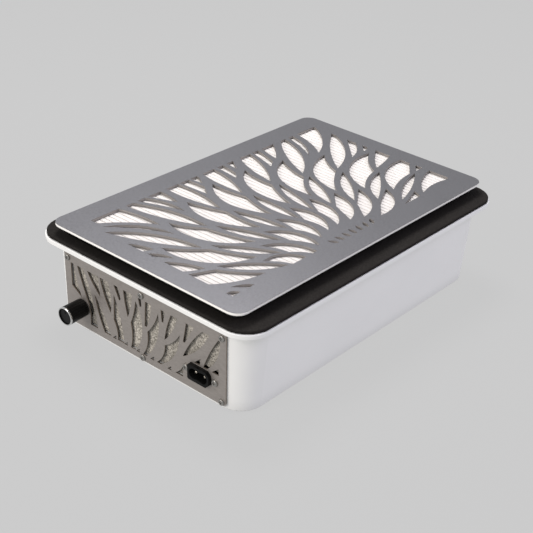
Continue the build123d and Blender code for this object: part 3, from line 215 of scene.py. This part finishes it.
def white_abs(name, shade):
    """Moulded ABS: very fine texture, faint flow marks, and painted shade in its corners, under
    overhangs and near the floor.
    """
    material = new_material(name, shade, 0.42, Specular_IOR_Level=0.45)
    flow = noise_field(material, 60 * MM, (1, 1, 2))
    darker = scaled(shade, 0.975)
    unshaded_colour = mix_colours(material, remap(material, flow, 0, 1), darker, shade)
    # painted shade in corners, under overhangs and where the body meets the floor
    painted_shade = scaled(shade, PAINTED_CORNER_SHADE)
    set_colour(material, mix_colours(material, openness(material, PAINTED_SHADE_REACH), painted_shade, unshaded_colour))
    set_roughness(material, remap(material, noise_field(material, 9 * MM), 0.38, 0.47))
    add_bump(material, noise_field(material, 0.55 * MM, detail=2), 0.02 * MM, 0.6)
    return material


def closed_cell_foam():
    """Black EVA sheet: matt, with small dimples."""
    dark = (0.010, 0.0088, 0.008)
    light = (0.024, 0.0215, 0.0195)
    material = new_material("eva_foam", dark, 0.95, Specular_IOR_Level=0.1)
    grain = noise_field(material, 1.3 * MM, detail=4, rough=0.7)
    cloud = noise_field(material, 18 * MM)
    mottled = mix_colours(material, remap(material, grain, 0, 1), dark, light)
    set_colour(material, mix_colours(material, remap(material, cloud, 0, 0.35), mottled, dark))
    add_bump(material, grain, 0.16 * MM, 0.8)
    add_bump(material, cell_field(material, 0.8 * MM), 0.08 * MM, 0.6)
    return material


def grained_steel(material, light, dark, grain):
    """Rolled face of a steel sheet: grain from dark to light, with faint duller clouds."""
    cloud = noise_field(material, 45 * MM)
    grained = mix_colours(material, remap(material, grain, 0, 1), dark, light)
    return mix_colours(material, remap(material, cloud, 0, 0.5), grained, scaled(light, 0.9))


# Width of the band along the plate's outer edge whose cut sides get the painted highlight.
PLATE_HIGHLIGHT_BAND = 6 * MM


def plate_steel():
    """Matt grey sheet whose outer edge carries a painted highlight, with a thin dark line along every
    cut.
    """
    material = new_material("plate_steel", (0.27, 0.27, 0.28), 0.38, 0.85)
    grain = noise_field(material, 1.1 * MM, (0.5, 1.4, 1), detail=5, rough=0.7)
    face = grained_steel(material, (0.205, 0.203, 0.214), (0.128, 0.126, 0.134), grain)
    low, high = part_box("grille_plate")
    half = (high - low) / 2 - Vector((PLATE_HIGHLIGHT_BAND, PLATE_HIGHLIGHT_BAND, 0))
    highlight_mask = beyond(material, (low + high) / 2, half)
    # Painted highlight: the cut sides near the outer edge are near-white, the cut sides inside stay
    # grey.
    cut_side_and_highlight = mix_colours(material, highlight_mask, (0.25, 0.232, 0.22), (0.95, 0.93, 0.90))
    flat = facing(material, (0, 0, 1))
    cut = mix_colours(material, remap(material, flat, 0, 1, 0.15, 0.25), cut_side_and_highlight, (0.075, 0.062, 0.054))
    set_colour(material, mix_colours(material, remap(material, flat, 0, 1, 0.96, 0.99), cut, face))
    set_metallic(material, remap(material, flat, 0.15, 0.85, 0.15, 0.25))
    set_roughness(material, remap(material, grain, 0.34, 0.46))
    add_bump(material, grain, 0.012 * MM, 0.6)
    return material


def panel_steel():
    """Warm grey brushed sheet with brown laser-cut edges."""
    material = new_material("panel_steel", (0.42, 0.40, 0.385), 0.42, 0.6)
    grain = noise_field(material, 1.4 * MM, (1, 0.3, 1.6), detail=5, rough=0.7)
    face = grained_steel(material, (0.36, 0.33, 0.308), (0.25, 0.228, 0.21), grain)
    flat = facing(material, tuple(PANEL_OUT))
    cut_edge = (0.24, 0.20, 0.165)
    set_colour(material, mix_colours(material, remap(material, flat, 0, 1, 0.35, 0.75), cut_edge, face))
    set_roughness(material, remap(material, grain, 0.38, 0.5))
    add_bump(material, grain, 0.012 * MM, 0.6)
    return material


def pleated_paper():
    """Synthetic filter fleece: matt white and faintly fibrous."""
    material = new_material("filter_paper", (0.55, 0.53, 0.51), 0.95, Specular_IOR_Level=0.2)
    fibre = noise_field(material, 0.9 * MM, (1, 0.35, 1), detail=5, rough=0.75)
    blotch = noise_field(material, 7 * MM)
    dull, bright, blotched = (0.545, 0.518, 0.493), (0.65, 0.625, 0.60), (0.53, 0.503, 0.478)
    colour = mix_colours(material, remap(material, fibre, 0, 1), dull, bright)
    set_colour(material, mix_colours(material, remap(material, blotch, 0, 0.3), colour, blotched))
    add_bump(material, fibre, 0.08 * MM, 0.7)
    return material


def open_cell_foam():
    """Grey-beige filter foam, mottled from cell to cell; its darkest specks are painted shade in the
    pores.
    """
    material = new_material("grey_foam", (0.33, 0.31, 0.28), 0.95, Specular_IOR_Level=0.2)
    cells = noise_field(material, 1.5 * MM, detail=3, rough=0.7)
    cloud = noise_field(material, 22 * MM)
    # The dark end of the cell mottle is painted shade in the pores; the light end and the dusty clouds
    # are the foam's own tone.
    hollow, strut, dusty = (0.045, 0.04, 0.034), (0.78, 0.73, 0.65), (0.115, 0.108, 0.09)
    colour = mix_colours(material, remap(material, cells, 0, 1), hollow, strut)
    set_colour(material, mix_colours(material, remap(material, cloud, 0, 0.6), colour, dusty))
    add_bump(material, cell_field(material, 1.0 * MM), 0.4 * MM, 0.8)
    return material


def moulded_black(name, shade=0.012, roughness=0.4, gloss=0.35):
    """Black plastic with a fine eroded texture."""
    colour = (shade, shade, shade * 1.04)
    material = new_material(name, colour, roughness, Specular_IOR_Level=gloss)
    lighter = scaled(colour, 1.6)
    mottle = noise_field(material, 5 * MM, detail=4)
    set_colour(material, mix_colours(material, remap(material, mottle, 0, 1), colour, lighter))
    set_roughness(material, remap(material, mottle, roughness - 0.05, roughness + 0.08))
    add_bump(material, noise_field(material, 0.4 * MM, detail=2), 0.015 * MM, 0.7)
    return material


def rubber(name, shade=0.014):
    """Matt black rubber with a chalky mottle."""
    colour = (shade, shade, shade)
    material = new_material(name, colour, 0.8, Specular_IOR_Level=0.35)
    mottle = noise_field(material, 2.2 * MM, detail=5)
    set_colour(material, mix_colours(material, remap(material, mottle, 0, 1), colour, scaled(colour, 2)))
    add_bump(material, mottle, 0.05 * MM, 0.7)
    return material


def plain_metal(name, colour, roughness, stretch=(1, 1, 1), grain=0.5):
    """Metal with fine tool marks."""
    material = new_material(name, colour, roughness, 1.0)
    marks = noise_field(material, grain * MM, stretch, detail=4, rough=0.7)
    darker = scaled(colour, 0.78)
    set_colour(material, mix_colours(material, remap(material, marks, 0, 1), darker, colour))
    set_roughness(material, remap(material, marks, roughness - 0.06, roughness + 0.1))
    add_bump(material, marks, 0.01 * MM, 0.5)
    return material


def plastic(name, colour, roughness=0.45):
    """Coloured moulded plastic."""
    material = new_material(name, colour, roughness)
    mottle = noise_field(material, 3 * MM, detail=4)
    darker = scaled(colour, 0.8)
    set_colour(material, mix_colours(material, remap(material, mottle, 0, 1), darker, colour))
    add_bump(material, noise_field(material, 0.5 * MM), 0.02 * MM, 0.6)
    return material


def circuit_board():
    """Green lacquer with a faint weave and lighter copper areas under it."""
    material = new_material("board_green", (0.02, 0.13, 0.05), 0.35, Coat_Weight=0.4, Coat_Roughness=0.2)
    tracks = cell_field(material, 7 * MM, (1, 1, 0.1))
    copper = remap(material, tracks, 0, 1, 0.3, 0.42)
    set_colour(material, mix_colours(material, copper, (0.03, 0.20, 0.07), (0.012, 0.09, 0.035)))
    add_bump(material, copper, 0.03 * MM, 0.6)
    add_bump(material, noise_field(material, 0.8 * MM), 0.01 * MM, 0.5)
    return material


def wound_copper():
    """Enamelled windings on dark steel teeth."""
    material = new_material("stator_copper", (0.45, 0.18, 0.07), 0.35, 0.9)
    turns = noise_field(material, 0.6 * MM, (0.2, 0.2, 3), detail=2)
    dark, light = (0.16, 0.05, 0.02), (0.62, 0.27, 0.11)
    set_colour(material, mix_colours(material, remap(material, turns, 0, 1), dark, light))
    add_bump(material, turns, 0.15 * MM, 0.8)
    return material


def make_materials():
    """Every CAD material slot's looks, by slot name."""
    metals = {
        "screw_steel": plain_metal("screw_steel", (0.38, 0.37, 0.35), 0.38),
        "black_screw": plain_metal("black_screw", (0.03, 0.03, 0.03), 0.45),
        "pin_nickel": plain_metal("pin_nickel", (0.55, 0.50, 0.42), 0.3),
        "knob_bright": plain_metal("knob_bright", (0.78, 0.78, 0.77), 0.16, (1, 0.2, 0.2)),
        "pot_metal": plain_metal("pot_metal", (0.5, 0.5, 0.48), 0.4),
        "magnet_nickel": plain_metal("magnet_nickel", (0.6, 0.6, 0.6), 0.25),
        "shaft_steel": plain_metal("shaft_steel", (0.56, 0.56, 0.56), 0.28),
        "heatsink_metal": plain_metal("heatsink_metal", (0.42, 0.42, 0.43), 0.42, (4, 1, 0.3)),
    }
    return {
        **metals,
        "white_abs": white_abs("white_abs", (0.80, 0.80, 0.79)),
        "bulkhead_abs": white_abs("bulkhead_abs", (0.70, 0.70, 0.69)),
        "eva_foam": closed_cell_foam(),
        "plate_steel": plate_steel(),
        "panel_steel": panel_steel(),
        "filter_paper": pleated_paper(),
        "grey_foam": open_cell_foam(),
        "frame_black": moulded_black("frame_black", 0.010, 0.5),
        "seat_black": moulded_black("seat_black", 0.014, 0.55),
        "inlet_black": moulded_black("inlet_black", 0.0022, 0.42, 0.12),
        "knob_black": moulded_black("knob_black", 0.0022, 0.34, 0.16),
        "blower_black": moulded_black("blower_black", 0.016, 0.5),
        "impeller_black": moulded_black("impeller_black", 0.022, 0.42),
        "gasket_foam": rubber("gasket_foam", 0.02),
        "foot_rubber": rubber("foot_rubber"),
        "lead_black": rubber("lead_black", 0.012),
        "lead_red": plastic("lead_red", (0.32, 0.02, 0.02)),
        "lead_white": plastic("lead_white", (0.6, 0.6, 0.57)),
        "standoff_nylon": plastic("standoff_nylon", (0.68, 0.66, 0.58)),
        "coil_tape": plastic("coil_tape", (0.62, 0.42, 0.04), 0.3),
        "capacitor_sleeve": plastic("capacitor_sleeve", (0.02, 0.03, 0.07), 0.25),
        "terminal_green": plastic("terminal_green", (0.03, 0.22, 0.08)),
        "ferrite": plain_metal("ferrite", (0.05, 0.05, 0.05), 0.6),
        "board_green": circuit_board(),
        "stator_copper": wound_copper(),
    }


# ---------------------------------------------------------------- CAD nodes
BEVELS = {
    "grille_plate": 0.35,
    "exhaust_panel": 0.10,
    "tray": 0.35,
    "filter_frame": 0.3,
    "filter_seat": 0.3,
    "inlet_body": 0.25,
    "knob_cap": 0.12,
    "knob_face": 0.15,
    "bulkhead": 0.3,
    "blower_a_case": 0.3,
    "blower_b_case": 0.3,
    "blower_a_cover": 0.3,
    "blower_b_cover": 0.3,
    "psu_board": 0.1,
    "psu_transformer": 0.4,
    "psu_coil": 0.6,
    "psu_heatsink": 0.15,
    "psu_terminals": 0.2,
    "rubber_feet": 0.3,
}


WELD_DISTANCE = 0.002 * MM


def soften_edges(piece, width):
    """Small rounded edges that catch the light."""
    weld = piece.modifiers.new("weld", "WELD")
    weld.merge_threshold = WELD_DISTANCE
    bevel = piece.modifiers.new("bevel", "BEVEL")
    bevel.width = width
    bevel.segments = 2
    bevel.limit_method = "ANGLE"
    bevel.angle_limit = math.radians(35)
    bevel.use_clamp_overlap = True
    bevel.harden_normals = True


def dress_cad_nodes(materials):
    for part in frame["record"]["subparts"]:
        piece = NODES[part["node"]]
        piece.data.materials.clear()
        piece.data.materials.append(materials[part["material_slot"]])
        if part["node"] in BEVELS:
            soften_edges(piece, BEVELS[part["node"]] * MM)


def new_piece(name, mesh, material, slot, body, *replaced):
    """A Blender-made piece that stands for CAD nodes and moves with their body."""
    piece = bpy.data.objects.new(name, mesh)
    bpy.context.scene.collection.objects.link(piece)
    mesh.materials.clear()
    mesh.materials.append(material)
    mesh.polygons.foreach_set("use_smooth", [True] * len(mesh.polygons))
    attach(piece, body)
    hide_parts(*replaced)
    return piece


def apply_modifiers(piece):
    """The piece's mesh as its modifiers leave it."""
    depsgraph = bpy.context.evaluated_depsgraph_get()
    shaped = bpy.data.meshes.new_from_object(piece.evaluated_get(depsgraph))
    piece.modifiers.clear()
    return shaped


def remeshed_copy(node, voxel):
    """An even, fine mesh over a CAD node's shape."""
    copy = bpy.data.objects.new("remesh", NODES[node].data.copy())
    bpy.context.scene.collection.objects.link(copy)
    weld = copy.modifiers.new("weld", "WELD")
    weld.merge_threshold = WELD_DISTANCE
    remesh = copy.modifiers.new("remesh", "REMESH")
    remesh.mode = "VOXEL"
    remesh.voxel_size = voxel
    mesh = apply_modifiers(copy)
    bpy.data.objects.remove(copy)
    return mesh


def push_vertices(mesh, distance_at):
    """Move every vertex along its normal by distance_at(position)."""
    normals = [vertex.normal.copy() for vertex in mesh.vertices]
    for vertex, normal in zip(mesh.vertices, normals):
        vertex.co += normal * distance_at(vertex.co)
    mesh.update()


# ---------------------------------------------------------------- pleated filter
PLEATS = 62
PLEAT_LENGTH_STEPS = 64
PLEAT_STEPS = (0.0, 0.02, 0.05, 0.09, 0.15, 0.24, 0.36, 0.5, 0.64, 0.76, 0.85, 0.91, 0.95, 0.98)
PLEAT_SHEET = 0.35 * MM
PLEAT_FULLNESS = 24          # higher: the folds bulge more and leave narrower valleys
PLEAT_WANDER = 0.55 * MM     # how far a fold strays sideways
PLEAT_SAG = 0.35 * MM        # how far its crest dips


def pleat_height(phase):
    """0 in a valley, 1 on a fold that bulges over most of the pleat."""
    return 1 - abs(2 * phase - 1) ** PLEAT_FULLNESS


def fold_wander(fold, y):
    """Sideways stray of one fold at y: long waves with short ones on them."""
    long_wave = noise.noise(Vector((fold * 3.7, y * 22, 1.5)))
    short_wave = noise.noise(Vector((fold * 1.9, y * 90, 8)))
    return PLEAT_WANDER * (long_wave + 0.5 * short_wave)


def fold_sag(fold, y):
    return PLEAT_SAG * abs(noise.noise(Vector((fold * 2.3, y * 35, 4.2))))


def pleated_filter(materials):
    """Pleats whose folds wander and sag a little, as pressed fleece does."""
    low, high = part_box("pleat_pack")
    pitch = (high.x - low.x) / PLEATS
    columns = [(pleat, phase) for pleat in range(PLEATS) for phase in PLEAT_STEPS] + [(PLEATS, 0.0)]
    depth = high.z - low.z
    vertices = []
    for row in range(PLEAT_LENGTH_STEPS + 1):
        along = row / PLEAT_LENGTH_STEPS
        y = low.y + (high.y - low.y) * along
        hold = min(1.0, 12 * along, 12 * (1 - along))
        for pleat, phase in columns:
            fold = pleat + round(phase)
            ends = min(1.0, (pleat + phase) / 1.5, (PLEATS - pleat - phase) / 1.5)
            height = pleat_height(phase)
            x = low.x + (pleat + phase) * pitch + fold_wander(fold, y) * hold * ends
            z = low.z + PLEAT_SHEET + (depth - PLEAT_SHEET - fold_sag(fold, y)) * height
            vertices.append((x, y, z))
    width = len(columns)
    faces = []
    for row in range(PLEAT_LENGTH_STEPS):
        for column in range(width - 1):
            corner = row * width + column
            faces.append((corner, corner + 1, corner + width + 1, corner + width))
    mesh = bpy.data.meshes.new("pleated_filter")
    mesh.from_pydata(vertices, [], faces)
    paper = materials["filter_paper"]
    piece = new_piece("pleated_filter", mesh, paper, "filter_paper", "filter", "pleat_pack")
    solid = piece.modifiers.new("thickness", "SOLIDIFY")
    solid.thickness = PLEAT_SHEET
    solid.offset = -1
    return piece


# ---------------------------------------------------------------- foams
FOAM_CELL = 1.9 * MM
FOAM_GRAIN = 0.9 * MM
FOAM_VOXEL = 0.75 * MM
FOAM_SUNK = 1.0 * MM         # how far the whole face lies behind its CAD shape
FOAM_PIT = 1.15 * MM         # depth of a pit, per cell size
FOAM_PIT_REACH = 0.62        # how far from its middle a pit reaches, in cell sizes
FOAM_RAGGED = 0.35 * MM


def exhaust_foam(materials):
    """Open-cell foam behind the exhaust panel: pitted all over, a little behind its CAD shape."""
    mesh = remeshed_copy("exhaust_foam", FOAM_VOXEL)

    def pit(place):
        distances = noise.voronoi(place / FOAM_CELL)[0]
        hollow = max(0.0, FOAM_PIT_REACH - distances[0])
        ragged = 0.5 + 0.5 * noise.noise(place / FOAM_GRAIN)
        return -(FOAM_SUNK + FOAM_PIT * hollow + FOAM_RAGGED * ragged)

    push_vertices(mesh, pit)
    foam = materials["grey_foam"]
    piece = new_piece("exhaust_foam_cells", mesh, foam, "grey_foam", "housing", "exhaust_foam")
    return piece


RIM_FOAM_VOXEL = 1.1 * MM
RIM_FOAM_SHRINK = 0.10 * MM
RIM_FOAM_BROAD = (0.07 * MM, 14 * MM)        # depth and size of its broad unevenness
RIM_FOAM_FINE = (0.05 * MM, 2.2 * MM)        # and of its fine one


def rim_foam(materials):
    """Soft black sheet under the hand-rest plate, with gently uneven faces and edges."""
    mesh = remeshed_copy("foam_gasket", RIM_FOAM_VOXEL)

    def swell(place):
        waves = (RIM_FOAM_BROAD, RIM_FOAM_FINE)
        return sum(depth * noise.noise(place / size) for depth, size in waves) - RIM_FOAM_SHRINK

    push_vertices(mesh, swell)
    piece = new_piece("rim_foam", mesh, materials["eva_foam"], "eva_foam", "housing", "foam_gasket")
    return piece


# ---------------------------------------------------------------- camera, floor and light
LENS = 80.26
SENSOR = 36.0
CAMERA_TURN = math.radians(-51.02)
CAMERA_RISE = math.radians(29.37)
CAMERA_ROLL = math.radians(3.57)
CAMERA_OFFSET = Vector((5.05, -21.26, 974.96)) * MM


def photo_camera():
    """The photograph's view, measured from the middle of the tray's underside."""
    back = Vector((
        math.sin(CAMERA_TURN) * math.cos(CAMERA_RISE),
        -math.cos(CAMERA_TURN) * math.cos(CAMERA_RISE),
        math.sin(CAMERA_RISE),
    ))
    right = (-back).cross(Vector((0, 0, 1))).normalized()
    up = right.cross(-back)
    rolled_right = right * math.cos(CAMERA_ROLL) + up * math.sin(CAMERA_ROLL)
    rolled_up = up * math.cos(CAMERA_ROLL) - right * math.sin(CAMERA_ROLL)
    place = back * CAMERA_OFFSET.z - rolled_right * CAMERA_OFFSET.x - rolled_up * CAMERA_OFFSET.y
    data = bpy.data.cameras.new("photo_camera")
    data.lens = LENS
    data.sensor_width = SENSOR
    data.clip_start = 0.01
    camera = bpy.data.objects.new("photo_camera", data)
    turn = Matrix((rolled_right, rolled_up, back)).transposed().to_4x4()
    camera.matrix_world = Matrix.Translation(TRAY_MIDDLE + place) @ turn
    bpy.context.scene.collection.objects.link(camera)
    bpy.context.scene.camera = camera


FLOOR_HALF = 15.0
FLOOR_SHADE = 0.03
FLOOR_GLOW = 0.553


def pale_floor():
    """A softly glowing light table, so that the object throws almost no shadow."""
    corners = [(x * FLOOR_HALF, y * FLOOR_HALF, 0) for x, y in ((-1, -1), (1, -1), (1, 1), (-1, 1))]
    mesh = bpy.data.meshes.new("floor")
    mesh.from_pydata(corners, [], [(0, 1, 2, 3)])
    floor = bpy.data.objects.new("floor", mesh)
    bpy.context.scene.collection.objects.link(floor)
    material = new_material("floor", (FLOOR_SHADE,) * 3, 0.9, Specular_IOR_Level=0.0)
    shader = shader_of(material)
    shader.inputs["Emission Color"].default_value = (1, 1, 1, 1)
    shader.inputs["Emission Strength"].default_value = FLOOR_GLOW
    mesh.materials.append(material)


AIM_HEIGHT = 40 * MM


def soft_light(name, place, size, power, colour=(1, 1, 1)):
    """A square softbox that faces the object; its place is measured from the tray, in metres."""
    data = bpy.data.lights.new(name, "AREA")
    data.shape = "SQUARE"
    data.size = size
    data.energy = power
    data.color = colour
    light = bpy.data.objects.new(name, data)
    light.location = TRAY_MIDDLE + Vector(place)
    aim = Vector(place) - Vector((0, 0, AIM_HEIGHT))
    light.rotation_euler = aim.to_track_quat("Z", "Y").to_euler()
    bpy.context.scene.collection.objects.link(light)


def studio():
    """Soft key on the exhaust end, a cool fill on the long side and a small top light, in pale air."""
    soft_light("key", (-1.8, 0.5, 0.95), 1.1, 27.0, (1.0, 0.95, 0.90))
    soft_light("fill", (0.6, -1.5, 1.5), 1.0, 13.0, (0.82, 0.77, 1.0))
    soft_light("top", (0.17, 0.30, 0.95), 0.4, 9.0, (1.0, 0.99, 1.0))
    world = bpy.data.worlds.new("studio")
    world.use_nodes = True
    background = world.node_tree.nodes["Background"]
    background.inputs["Color"].default_value = (0.97, 0.98, 1.0, 1)
    background.inputs["Strength"].default_value = 0.6
    bpy.context.scene.world = world
    bpy.context.scene.view_settings.view_transform = "Standard"


# ---------------------------------------------------------------- put it together
materials = make_materials()
dress_cad_nodes(materials)
pleated_filter(materials)
exhaust_foam(materials)
rim_foam(materials)
pale_floor()
studio()
photo_camera()
